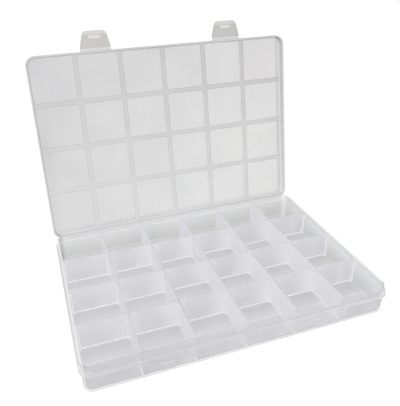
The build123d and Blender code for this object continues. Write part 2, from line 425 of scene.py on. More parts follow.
# Painted shade: a darker copy on the outer side of the front right corner, seen with both skins.
RIGHT_CORNER = Plastic("right_corner", (0.68, 0.68, 0.665), (0.7, 0.7, 0.685), 0.72, both_skins=True)
# Painted highlight along the flange's lower edge.
FLANGE_EDGE = Plastic("flange_edge", (0.93, 0.93, 0.94), (0.94, 0.94, 0.95), 0.12)
# Painted highlight: a lighter band on the front wall over each long wall's end.
WALL_END = Plastic("wall_end", (0.8, 0.8, 0.83), (0.82, 0.82, 0.85), 0.5)
# Painted highlight on each catch and the raised pad it stands on.
CATCH = Plastic("catch", (0.76, 0.755, 0.8), (0.78, 0.775, 0.82), 0.66)
# Painted shade on the dividers: darker in the middle of each cell, lower down and towards both ends of the
# box.
DIVIDER_FACE = Plastic(
    "divider_face", (0.92, 0.915, 0.96), (0.94, 0.94, 0.97), 0.44, Pattern.MID_CELL, (0.75, 0.745, 0.8)
)
# Painted highlight along each divider's foot and the last column's outer end.
DIVIDER_EDGE = Plastic("divider_edge", (0.97, 0.97, 0.98), (0.98, 0.98, 0.99), 0.06)
DIVIDER_TOP = Plastic("divider_top", (0.84, 0.84, 0.88), (0.85, 0.85, 0.89), 0.42)
# The channels are darker than the pads, with painted shade towards the top of the open lid.
LID_CHANNEL = Plastic(
    "lid_channel", (0.6, 0.59, 0.6), (0.59, 0.59, 0.6), 0.38, Pattern.UP_THE_LID, (0.385, 0.385, 0.395)
)
# Painted shade over the pads: darker to the left and the top, along the hinge and at both side edges; the
# blush tint is the plastic's own.
LID_PAD = Plastic(
    "lid_pad",
    (0.775, 0.72, 0.745),
    (0.72, 0.735, 0.77),
    0.4,
    Pattern.OVER_THE_LID,
    (0.455, 0.455, 0.475),
    blush=(0.755, 0.755, 0.725),
)
# Painted shade: dark lines along the pads' sides, darker towards the top of the open lid.
LID_LINE = Plastic(
    "lid_line", (0.5, 0.5, 0.5), (0.49, 0.49, 0.5), 0.34, Pattern.UP_THE_LID, (0.3, 0.3, 0.31)
)
# Painted shade: a dark band on the skirt and round the lid's border, darker towards the top of the open lid.
LID_SKIRT = Plastic(
    "lid_skirt", (0.56, 0.55, 0.56), (0.57, 0.57, 0.58), 0.4, Pattern.UP_THE_LID, (0.46, 0.46, 0.47)
)
# Painted light and shade: a lighter copy for the inner side of the right-hand skirt, darker towards the top.
LID_SIDE = Plastic(
    "lid_side", (0.74, 0.73, 0.74), (0.75, 0.75, 0.76), 0.4, Pattern.UP_THE_LID, (0.51, 0.5, 0.51)
)
# Lighter and darker copies for the tabs: painted light on the thin floor of the slot and on the grip band, a
# darker plate, and lighter copies for the raised border and the film.
TAB_THIN = Plastic("tab_thin", (0.62, 0.62, 0.59), (0.64, 0.64, 0.61), 0.4)
TAB_GRIP = Plastic("tab_grip", (0.55, 0.55, 0.52), (0.56, 0.56, 0.54), 0.32)
TAB_PLATE = Plastic("tab_plate", (0.4, 0.39, 0.365), (0.415, 0.405, 0.385), 0.32)
TAB_EDGE = Plastic("tab_edge", (0.52, 0.52, 0.49), (0.54, 0.54, 0.52), 0.28)
TAB_FILM = Plastic("tab_film", (0.58, 0.58, 0.59), (0.62, 0.62, 0.64), 0.3)
# Painted light: a lighter copy for the film between tray and lid.
HINGE_FILM = Plastic("hinge_film", (0.82, 0.82, 0.83), (0.84, 0.84, 0.85), 0.3)


# ---- Bench: modelling with Blender's own operators ----
@dataclass(frozen=True)
class Spot:
    """Where a corner, edge or face lies, in millimetres, and which way it points."""

    x: float
    y: float
    z: float
    way: Vector


Test = Callable[[Spot], bool]


def deselect() -> None:
    """Leave nothing selected."""
    for other in bpy.context.selected_objects:
        other.select_set(False)


def take_up(piece: Piece) -> None:
    """Make one object the only one selected, and the active one."""
    deselect()
    piece.select_set(True)
    bpy.context.view_layer.objects.active = piece


def stand(name: str, data: bpy.types.ID) -> Piece:
    """Stand an object with this data in the scene."""
    piece = bpy.data.objects.new(name, data)
    bpy.context.scene.collection.objects.link(piece)
    return piece


def settle(piece: Piece) -> Piece:
    """Put an object's place, turn and size into its mesh."""
    take_up(piece)
    bpy.ops.object.transform_apply()
    return piece


def block(name: str, low: Sequence[float], high: Sequence[float]) -> Piece:
    """Add a cube primitive at its size and place.

    Args:
        name: the object's name.
        low: lowest corner, in millimetres.
        high: highest corner, in millimetres.

    Returns:
        The object, with its size in its mesh.
    """
    deselect()
    low, high = Vector(low), Vector(high)
    bpy.ops.mesh.primitive_cube_add(size=1, location=(low + high) / 2 * MM)
    piece = bpy.context.object
    piece.name = piece.data.name = name
    piece.scale = (high - low) * MM
    return settle(piece)


@contextmanager
def editing(piece: Piece) -> Iterator[None]:
    """Work on a piece in edit mode, with nothing selected at first."""
    take_up(piece)
    bpy.ops.object.mode_set(mode="EDIT")
    bpy.ops.mesh.select_all(action="DESELECT")
    yield
    bpy.ops.object.mode_set(mode="OBJECT")


def spot(item: bmesh.types.BMVert | bmesh.types.BMEdge | bmesh.types.BMFace) -> Spot:
    """Say where a corner, edge or face lies and which way it points."""
    if isinstance(item, bmesh.types.BMVert):
        centre, way = item.co, item.normal
    elif isinstance(item, bmesh.types.BMEdge):
        centre = (item.verts[0].co + item.verts[1].co) / 2
        way = (item.verts[1].co - item.verts[0].co).normalized()
        way = Vector(map(abs, way))
    else:
        centre, way = item.calc_center_median(), item.normal
    return Spot(*(centre / MM), way.copy())


def choose(piece: Piece, part: Part, test: Test) -> None:
    """Select, in edit mode, what passes a test of its place and direction.

    Args:
        piece: the object in edit mode.
        part: corners, edges or faces.
        test: says whether a spot is wanted.
    """
    bpy.ops.mesh.select_mode(type=part.name)
    bpy.ops.mesh.select_all(action="DESELECT")
    mesh = bmesh.from_edit_mesh(piece.data)
    for item in [item for item in getattr(mesh, part.value) if test(spot(item))]:
        item.select_set(True)
    mesh.select_flush_mode()
    bmesh.update_edit_mesh(piece.data)


def is_upright(s: Spot) -> bool:
    """Whether an edge stands upright, or a face looks up."""
    return s.way.z > SQUARELY


def round_over(piece: Piece, radius: float, test: Test, segments: int) -> None:
    """Bevel, in edit mode, each edge that passes a test.

    Args:
        piece: the object in edit mode.
        radius: in millimetres.
        test: says whether an edge is wanted.
        segments: how many steps the rounding has.
    """
    choose(piece, Part.EDGE, test)
    bpy.ops.mesh.bevel(offset=radius * MM, segments=segments)


def step_in(width: float, rise: float) -> None:
    """Inset each selected face by a width and lift it along its normal, in millimetres."""
    bpy.ops.mesh.inset(thickness=width * MM, depth=rise * MM, use_individual=True, use_even_offset=True)


def draw_out(move: Sequence[float]) -> None:
    """Extrude what is selected by a move in metres."""
    bpy.ops.mesh.extrude_region_move(TRANSFORM_OT_translate={"value": move})


def cut(piece: Piece, axis: int, place: float, test: Test) -> None:
    """Cut, in edit mode, each face that passes a test along a plane square to an axis.

    Args:
        piece: the object in edit mode.
        axis: 0, 1 or 2 for x, y or z.
        place: where on the axis, in millimetres.
        test: says whether a face is wanted.
    """
    choose(piece, Part.FACE, test)
    point, normal = Vector((0, 0, 0)), Vector((0, 0, 0))
    point[axis] = place * MM
    normal[axis] = 1
    bpy.ops.mesh.bisect(plane_co=point, plane_no=normal, use_fill=False)


def modify(piece: Piece, kind: str, **settings: object) -> None:
    """Add a modifier and apply it at once.

    Args:
        piece: the object to change.
        kind: the modifier's type.
        settings: the modifier's properties.
    """
    take_up(piece)
    modifier = piece.modifiers.new("work", kind)
    for key, value in settings.items():
        setattr(modifier, key, value)
    bpy.ops.object.modifier_apply(modifier=modifier.name)


def modify_by(piece: Piece, operation: str, other: Piece) -> None:
    """Join another solid to a piece, or cut it out of it, and throw the other away."""
    modify(piece, "BOOLEAN", object=other, operation=operation, solver="EXACT", material_mode="INDEX")
    bpy.data.objects.remove(other)


def smooth(piece: Piece) -> None:
    """Shade a piece smooth between its sharp edges."""
    take_up(piece)
    bpy.ops.object.shade_smooth_by_angle(angle=math.radians(SHARP_ABOVE))
    modify(piece, "WEIGHTED_NORMAL", keep_sharp=True)


def soften(piece: Piece, radius: float) -> None:
    """Round every sharp edge by a little and shade the piece smooth."""
    limit = {"limit_method": "ANGLE", "angle_limit": math.radians(ROUND_ABOVE), "use_clamp_overlap": False}
    modify(piece, "BEVEL", width=radius * MM, segments=2, miter_outer="MITER_ARC", **limit)
    smooth(piece)


def dress(piece: Piece, finishes: Sequence[Material]) -> None:
    """Give a piece its finishes; its faces have the first until they are painted."""
    piece.data.materials.clear()
    for finish in finishes:
        piece.data.materials.append(finish)


def paint(piece: Piece, finish: Plastic, test: Test) -> None:
    """Give one of a piece's finishes to each face, in edit mode, that passes a test."""
    choose(piece, Part.FACE, test)
    piece.active_material_index = piece.data.materials.find(finish.name)
    bpy.ops.object.material_slot_assign()


def hand_over(piece: Piece, body: str, node: str) -> None:
    """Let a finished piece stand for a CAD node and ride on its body."""
    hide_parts(node)
    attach(piece, body)
    LOG.info("%s: %d faces, rides on %s", piece.name, len(piece.data.polygons), body)


# ---- Hinge ----
@dataclass(frozen=True)
class Hinge:
    """The lid's hinge axis and how far the lid stands open."""

    y: float = 68.0
    z: float = 16.05
    open_degrees: float = 100.0

    def turn(self) -> Matrix:
        """The move from the lid closed to the lid open."""
        centre = Vector((0, self.y, self.z)) * MM
        spin = Matrix.Rotation(math.radians(-self.open_degrees), 4, "X")
        return Matrix.Translation(centre) @ spin @ Matrix.Translation(-centre)

    def open_up(self, piece: Piece) -> None:
        """Turn a piece that was modelled with the lid closed to where the lid stands open."""
        piece.matrix_world = self.turn()
        settle(piece)

    def opened(self, y: float, z: float) -> Vector:
        """Where a point that is given with the lid closed, in millimetres, stands at rest, in metres."""
        return self.turn() @ (Vector((0, y, z)) * MM)


# ---- Tray ----
@dataclass
class Tray:
    """The lower moulding: floor, outer wall with its flange, long walls, guide ribs and catches."""

    ledge: float = 16.0
    floor_top: float = 1.3
    flange_bottom: float = 12.8
    flange_band: float = 1.0
    foot_top: float = 3.6
    wall_top: float = 20.2
    rib_top: float = 18.9
    rim_top: float = 21.2
    inner_half_x: float = 94.8
    inner_half_y: float = 64.1
    corner_x: float = 91.0
    corner_y: float = 60.0
    front: float = -64.6
    under_gap: float = 0.9
    flange_soft: float = 0.3
    flange_x: float = 96.6
    rim_band: float = 0.35
    right_corner: Pair = (90.0, -58.0)
    long_walls: int = 5
    end_below: Pair = (-2.0, 0.0)
    end_above: Pair = (-3.5, -1.2)
    catch_half: float = 5.2
    catch_heights: Pair = (6.6, 9.8)
    catch_front: float = -66.95
    weld: float = 0.001
    flat_degrees: float = 0.5
    edge_round: float = 0.12

    def is_inner(self, s: Spot) -> bool:
        """Whether a face belongs to a long wall or a guide rib."""
        in_corner = abs(s.x) > self.corner_x and abs(s.y) > self.corner_y
        inside = abs(s.x) < self.inner_half_x and abs(s.y) < self.inner_half_y
        return s.z > self.floor_top + TOUCH and inside and not in_corner

    def is_outer(self, s: Spot) -> bool:
        """Whether a face belongs to the outer wall or its flange."""
        return s.z > self.floor_top + TOUCH and not self.is_inner(s)

    @staticmethod
    def faces_in(s: Spot) -> bool:
        """Whether a face looks towards the middle of the tray."""
        return s.x * s.way.x + s.y * s.way.y < -TOUCH

    def faces_front(self, s: Spot) -> bool:
        """Whether a face belongs to the outer side of the front wall, its flange or its rim."""
        return s.y < self.front and s.way.y < -PARTLY

    def is_front(self, s: Spot) -> bool:
        """Whether a face belongs to the outer side or the top of the front wall."""
        return self.faces_front(s) or s.y < self.front and abs(s.way.z) > HALFWAY

    def on_ledge(self, s: Spot) -> bool:
        """Whether a face lies level on the ledge, on top of the flange."""
        return s.way.z > SQUARELY and abs(s.z - self.ledge) < TOUCH

    def walls(self) -> list[float]:
        """The middle of each long wall."""
        return [(number - (self.long_walls - 1) / 2) * COLUMN for number in range(self.long_walls)]

    def at_wall_end(self, s: Spot) -> bool:
        """Whether a face of the front wall or its flange lies over the end of a long wall, where a painted
        highlight goes.
        """
        start, end = self.end_below if s.z < self.flange_bottom else self.end_above
        low = self.is_front(s) and s.z < self.ledge - 2 * TOUCH
        return low and any(start < s.x - x < end for x in self.walls())

    def at_wall_top(self, s: Spot) -> bool:
        """Whether a face belongs to the top of a long wall or a guide rib."""
        high = s.z > self.wall_top or s.way.z > HALFWAY and s.z > self.rib_top
        return self.is_inner(s) and high

    def at_right_corner(self, s: Spot) -> bool:
        """Whether a face belongs to the outer side of the front right corner."""
        x, y = self.right_corner
        return self.is_outer(s) and s.x > x and s.y < y and s.way.x > BARELY

    def at_catch(self, s: Spot) -> bool:
        """Whether a face belongs to a catch or the raised pad it stands on, which get a painted highlight.
        """
        low, high = self.catch_heights
        near = abs(abs(s.x) - LATCH_X) < self.catch_half
        return near and low < s.z < high and s.y < self.catch_front

    def at_flange_edge(self, s: Spot) -> bool:
        """Whether a face is the flange's lower edge, which gets a painted highlight, left out over the
        middle of the front.
        """
        low = self.flange_bottom - TOUCH < s.z < self.flange_bottom + self.flange_band
        return low and self.is_outer(s) and (s.y > self.front or abs(s.x) > 2 * COLUMN)

    def regions(self) -> list[tuple[Plastic, Test]]:
        """Each region's finish and the test for its faces; a later region wins over an earlier one."""
        floor, ledge, foot, flange = self.floor_top + TOUCH, self.ledge, self.foot_top, self.flange_bottom
        # Painted light and shade, region by region: each finish is a lighter or darker copy of one plastic,
        # with painted highlights on the flange's lower edge, the wall ends, the catches and the rim's top.
        return [
            (TRAY_SHELL, lambda s: True),
            (LEFT_SIDE, lambda s: self.is_outer(s) and s.way.x < -PARTLY and s.x < 0),
            (FRONT_RIM, lambda s: self.faces_front(s) and s.z > ledge),
            (FLANGE_FRONT, lambda s: self.faces_front(s) and flange < s.z < ledge),
            (TRAY_FLOOR, lambda s: abs(s.way.z) > SQUARELY and s.z < floor),
            (TRAY_INNER, self.is_inner),
            (WALL_TOP, self.at_wall_top),
            (TRAY_LINING, lambda s: self.is_outer(s) and self.faces_in(s)),
            (TRAY_RIGHT, lambda s: self.is_outer(s) and s.way.x < -MOSTLY and s.x > 0),
            (TRAY_RIM, lambda s: self.is_outer(s) and s.z > ledge + TOUCH and self.faces_in(s)),
            (RIM_BACK, lambda s: s.y > self.corner_y and s.way.y < -MOSTLY and s.z > ledge + TOUCH),
            (RIM_TOP, lambda s: s.z > self.rim_top - self.rim_band and s.way.z > SLIGHTLY),
            (TRAY_EDGE, lambda s: self.is_outer(s) and self.on_ledge(s)),
            (FLANGE_TOP, lambda s: self.on_ledge(s) and (abs(s.x) > self.flange_x or s.y < self.front)),
            (FLANGE_UNDER, lambda s: s.way.z < -SLIGHTLY and abs(s.z - flange) < self.flange_soft),
            (FLANGE_EDGE, self.at_flange_edge),
            (FRONT_LOW, lambda s: self.is_front(s) and foot < s.z < flange - self.under_gap + TOUCH),
            (FRONT_FOOT, lambda s: s.y < self.front and s.way.y < -BARELY and s.z < foot),
            (RIGHT_CORNER, self.at_right_corner),
            (WALL_END, self.at_wall_end),
            (CATCH, self.at_catch),
        ]

    def build(self) -> None:
        """Merge a copy of the moulding's mesh, round its edges and dress it by region."""
        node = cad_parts["tray"]
        tray = stand("tray_moulding", node.data.copy())
        tray.matrix_world = node.matrix_world.copy()
        settle(tray)
        bpy.ops.mesh.customdata_custom_splitnormals_clear()
        with editing(tray):
            bpy.ops.mesh.select_all(action="SELECT")
            bpy.ops.mesh.remove_doubles(threshold=self.weld * MM)
            bpy.ops.mesh.dissolve_limited(angle_limit=math.radians(self.flat_degrees))
            bpy.ops.mesh.select_all(action="SELECT")
            bpy.ops.mesh.dissolve_degenerate(threshold=HAIR * MM)
        soften(tray, self.edge_round)
        with editing(tray):
            for axis, far in ((0, self.corner_x), (1, self.corner_y)):
                for place in (-far, far):
                    cut(tray, axis, place, self.on_ledge)
            for x in self.walls():
                for side in sorted(self.end_below + self.end_above):
                    cut(tray, 0, x + side, self.is_front)
            flange = self.flange_bottom
            for place in (self.foot_top, flange - self.under_gap, flange + self.flange_band):
                cut(tray, 2, place, lambda s: self.is_front(s) and abs(s.way.z) < SLIGHTLY)
        dress(tray, [finish.make() for finish, _ in self.regions()])
        with editing(tray):
            for finish, test in self.regions():
                paint(tray, finish, test)
        hand_over(tray, "tray", "tray")


# ---- Dividers ----
@dataclass
class Dividers:
    """Eighteen loose plates, three rows of six, with a painted highlight along the foot and, in the last
    column, along the outer end.
    """

    columns: int = 6
    rows: int = 3
    corner: float = 1.2
    foot_band: float = 1.4
    end_band: float = 0.25
    edge_round: float = 0.14

    def make_one(self, name: str, node: str, finishes: Sequence[Material]) -> Piece:
        """Model a divider where one of the CAD's dividers stands.

        Args:
            name: the new piece's name.
            node: the CAD divider it is sized from.
            finishes: the face's, the foot's and the top's materials.

        Returns:
            The divider.
        """
        low, high = (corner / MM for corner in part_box(node))
        plate = block(name, low, high)
        dress(plate, finishes)
        left, right, foot = low.x + self.end_band, high.x - self.end_band, low.z + self.foot_band
        with editing(plate):
            round_over(plate, self.corner, lambda s: s.way.y > SQUARELY, segments=5)
            for axis, place in ((0, left), (0, right), (2, foot)):
                cut(plate, axis, place, lambda s: True)
        soften(plate, self.edge_round)
        with editing(plate):
            # Painted highlight along the foot and, in the last column, the outer end; the top gets a copy of
            # its own.
            paint(plate, DIVIDER_EDGE, lambda s: s.z < foot or s.x > right and s.x > 2 * COLUMN)
            paint(plate, DIVIDER_TOP, lambda s: s.z > high.z - 2 * self.edge_round)
        return plate

    def build(self) -> None:
        """Model the two outer dividers and an inner one, and copy them to every place."""
        finishes = [finish.make() for finish in (DIVIDER_FACE, DIVIDER_EDGE, DIVIDER_TOP)]
        models = {
            column: self.make_one(f"divider_model_{column}", f"divider_r1_c{column}", finishes)
            for column in (1, 2, self.columns)
        }
        for row in range(1, self.rows + 1):
            for column in range(1, self.columns + 1):
                source = column if column in models else 2
                node = f"divider_r{row}_c{column}"
                plate = stand(f"divider_plate_r{row}_c{column}", models[source].data.copy())
                plate.data.name = plate.name
                plate.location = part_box(node)[0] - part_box(f"divider_r1_c{source}")[0]
                settle(plate)
                hand_over(plate, node, node)
        for model in models.values():
            bpy.data.objects.remove(model)


# ---- Lid ----
@dataclass
class Lid:
    """Plate with a skirt all round and a soft-edged pad over each cell, modelled closed."""

    hinge: Hinge
    width: float = 196.5
    depth: float = 135.0
    corner: float = 7.0
    wall: float = 1.2
    low: float = 16.1
    pad_face: float = 21.4
    channel_face: float = 21.85
    high: float = 22.6
    edge_round: float = 1.0
    inside_round: float = 1.0
    lip_round: float = 0.3
    columns: int = 6
    rows: int = 4
    pitch_x: float = COLUMN
    pitch_y: float = 32.5
    shift_y: float = -0.5
    channel: float = 3.1
    pad_corner: float = 2.2
    pad_soft: float = 0.3
    recess_margin: float = 0.6
    recess_border: float = 3.4
    recess_deep: float = 0.3
    pad_tall: float = 0.8

    @property
    def border(self) -> float:
        """From the lid's edge to where its flat inner face begins."""
        return self.wall + self.inside_round

    def at_skirt(self, s: Spot) -> bool:
        """Whether a face belongs to the skirt or its inside corner."""
        margin = self.border + TOUCH / 2
        return abs(s.x) > self.width / 2 - margin or abs(s.y) > self.depth / 2 - margin

    def at_lip(self, s: Spot) -> bool:
        """Whether an edge lies level at the skirt's free end."""
        return abs(s.z - self.low) < HAIR and s.way.z < BARELY

    def at_right_side(self, s: Spot) -> bool:
        """Whether a face belongs to the inner side of the right-hand skirt."""
        return s.x > self.width / 2 - self.border and s.way.x < -HALFWAY

    def make_pads(
        self, name: str, margin: float, border: float, span: Pair, finishes: Sequence[Material]
    ) -> Piece:
        """Model one rounded pad, repeat it over the cells and pull the outer ones out to the lid's edge.

        Args:
            name: the object's name.
            margin: how far a pad stays clear of a channel.
            border: from the lid's edge to the outer pads.
            span: a pad's lowest and greatest height.
            finishes: the lid's materials.

        Returns:
            All the pads as one object.
        """
        low, high = span
        half_x = (self.pitch_x - self.channel) / 2 - margin
        half_y = (self.pitch_y - self.channel) / 2 - margin
        x = (self.columns - 1) / 2 * self.pitch_x
        front, back = (way * (self.rows - 1) / 2 * self.pitch_y + self.shift_y for way in (-1, 1))
        pads = block(name, (-x - half_x, front - half_y, low), (-x + half_x, front + half_y, high))
        dress(pads, finishes)
        with editing(pads):
            round_over(pads, self.pad_corner - margin, is_upright, segments=6)
            round_over(pads, self.pad_soft, lambda s: s.way.z < BARELY and abs(s.z - low) < HAIR, segments=4)
            paint(pads, LID_PAD, lambda s: True)
        for count, step in ((self.columns, (self.pitch_x, 0, 0)), (self.rows, (0, self.pitch_y, 0))):
            offset = {"use_constant_offset": True, "constant_offset_displace": Vector(step) * MM}
            modify(pads, "ARRAY", count=count, use_relative_offset=False, **offset)
        right, rear = self.width / 2 - border, self.depth / 2 - border
        pulls = (
            (lambda s: s.x > x, (right - x - half_x, 0, 0)),
            (lambda s: s.x < -x, (x + half_x - right, 0, 0)),
            (lambda s: s.y > back, (0, rear - back - half_y, 0)),
            (lambda s: s.y < front, (0, half_y - front - rear, 0)),
        )
        with editing(pads):
            for test, move in pulls:
                choose(pads, Part.VERT, test)
                bpy.ops.transform.translate(value=Vector(move) * MM)
        return pads

    def middles(self) -> list[tuple[int, float]]:
        """The middle of each channel and of each pad: the axis it lies square to, and its place."""
        across = [(0, number * self.pitch_x / 2) for number in range(1 - self.columns, self.columns)]
        along = [(1, number * self.pitch_y / 2 + self.shift_y) for number in range(1 - self.rows, self.rows)]
        return across + along

    def make_slab(self) -> Piece:
        """Model the hollow that the channels run in."""
        x, y = self.width / 2 - self.border, self.depth / 2 - self.border
        slab = block("slab", (-x, -y, self.pad_face - BEYOND), (x, y, self.channel_face))
        with editing(slab):
            round_over(slab, self.corner - self.border, is_upright, segments=8)
        return slab

    def build(self) -> None:
        """Model the lid and turn it open."""
        x, y = self.width / 2, self.depth / 2
        finishes = [finish.make() for finish in (LID_CHANNEL, LID_PAD, LID_SKIRT, LID_LINE, LID_SIDE)]
        lid = block("lid_moulding", (-x, -y, self.low), (x, y, self.high))
        dress(lid, finishes)
        inner, near = self.pad_face, 2 * HAIR
        rim, deep, top = inner - HAIR, self.channel_face - near, self.high - TOUCH
        with editing(lid):
            round_over(lid, self.corner, is_upright, segments=10)
            choose(lid, Part.FACE, lambda s: s.way.z < -SQUARELY)
            step_in(self.wall, 0)
            draw_out((0, 0, (inner - self.low) * MM))
            round_over(lid, self.inside_round, lambda s: abs(s.z - inner) < HAIR, segments=5)
            round_over(lid, self.edge_round, lambda s: abs(s.z - self.high) < HAIR, segments=4)
            round_over(lid, self.lip_round, self.at_lip, segments=3)
        modify_by(lid, "DIFFERENCE", self.make_slab())
        with editing(lid):
            for axis, place in self.middles():
                cut(lid, axis, place, lambda s: s.z > inner + TOUCH and abs(s.way.z) > SQUARELY)
        raised, sunk = (inner, inner + self.pad_tall), (self.high - self.recess_deep, self.high + BEYOND)
        pads = self.make_pads("pads", 0.0, self.border - 2 * self.pad_soft, raised, finishes)
        recesses = self.make_pads("sunk", self.recess_margin, self.recess_border, sunk, finishes)
        modify_by(lid, "UNION", pads)
        modify_by(lid, "DIFFERENCE", recesses)
        with editing(lid):
            bpy.ops.mesh.select_all(action="SELECT")
            bpy.ops.mesh.dissolve_degenerate(threshold=HAIR / 2 * MM)
        smooth(lid)
        with editing(lid):
            # Painted shade: ramps over the pads, dark lines along the pads' sides, a dark band on the skirt
            # and round the border, and a lighter copy on the right skirt's inner side.
            paint(lid, LID_PAD, lambda s: s.way.z < -SQUARELY and abs(s.z - inner) < near)
            paint(lid, LID_LINE, lambda s: inner + near < s.z < deep and not self.at_skirt(s))
            paint(lid, LID_SKIRT, lambda s: s.z < rim or self.at_skirt(s) and s.z < top)
            paint(lid, LID_SIDE, lambda s: self.at_right_side(s) and s.z < rim)
        self.hinge.open_up(lid)
        hand_over(lid, "lid", "lid")


# ---- Latches ----
@dataclass
class Latch:
    """A tab with a raised border, wider at its tip, and a blind slot inside, modelled closed."""

    side: str
    x: float
    hinge: Hinge
    skirt_y: float = -67.5
    low: float = 16.1
    thick: float = 1.1
    start: float = 2.3
    end: float = 13.8
    base_width: float = 21.8
    tip_width: float = 16.4
    corner: float = 2.5
    border: float = 0.9
    border_rise: float = 0.5
    lip: float = 1.5
    slot_out: float = 9.6
    slot_width: float = 8.9
    slot_tall: float = 2.3
    slot_deep: float = 0.85
    slot_roundness: float = 0.98
    grip_gap: float = 0.4
    edge_round: float = 0.12

    def cut_slot(self, tab: Piece) -> None:
        """Cut the blind round-ended slot into the tab's inner face."""
        y = self.skirt_y - self.slot_out
        half_wide, half_tall = self.slot_width / 2, self.slot_tall / 2
        low = (self.x - half_wide, y - half_tall, self.low - BEYOND)
        cutter = block("slot_cutter", low, (self.x + half_wide, y + half_tall, self.low + self.slot_deep))
        with editing(cutter):
            round_over(cutter, half_tall * self.slot_roundness, is_upright, segments=6)
        modify_by(tab, "DIFFERENCE", cutter)

    def build(self, finishes: Sequence[Material]) -> None:
        """Model the tab and turn it to where the lid stands open.

        Args:
            finishes: the plate's, the border's, the grip's and the thin slot floor's materials.
        """
        near, far = self.skirt_y - self.start, self.skirt_y - self.end
        half = self.base_width / 2
        top = self.low + self.thick
        slot_y = self.skirt_y - self.slot_out
        grip_y = slot_y - self.slot_tall / 2 - self.grip_gap
        tab = block(f"latch_tab_{self.side}", (self.x - half, far, self.low), (self.x + half, near, top))
        dress(tab, finishes)
        with editing(tab):
            choose(tab, Part.VERT, lambda s: s.y < far + HAIR)
            narrow = self.tip_width / self.base_width
            middle = Vector((self.x, far, self.low)) * MM
            bpy.ops.transform.resize(value=(narrow, 1, 1), center_override=middle)
            round_over(tab, self.corner, lambda s: is_upright(s) and s.y < far + HAIR, segments=6)
            choose(tab, Part.FACE, is_upright)
            step_in(self.border, 0)
            inner_tip, lip_end = far + self.border, far + self.lip
            choose(tab, Part.VERT, lambda s: s.z > top - HAIR and -HAIR < s.y - inner_tip < self.corner)
            bpy.ops.transform.translate(value=(0, (self.lip - self.border) * MM, 0))
            wing = half / 2
            choose(tab, Part.FACE, lambda s: is_upright(s) and (abs(s.x - self.x) >= wing or s.y <= lip_end))
            draw_out((0, 0, self.border_rise * MM))
            # The raised border is a lighter copy: painted light.
            paint(tab, TAB_EDGE, lambda s: s.z > top + TOUCH / 2)
        self.cut_slot(tab)
        soften(tab, self.edge_round)
        with editing(tab):
            # Painted light: a lighter grip band towards the tip and a lighter thin floor in the slot.
            cut(tab, 1, grip_y, lambda s: s.way.z < -SQUARELY and s.z < self.low + HAIR)
            paint(tab, TAB_GRIP, lambda s: s.way.z < -PARTLY and s.y < grip_y and s.z < top)
            low, high = self.low + 2 * TOUCH, top - TOUCH / 2
            paint(tab, TAB_THIN, lambda s: abs(s.y - slot_y) < self.slot_tall and low < s.z < high)
        self.hinge.open_up(tab)
        hand_over(tab, f"latch_{self.side}", f"latch_{self.side}")


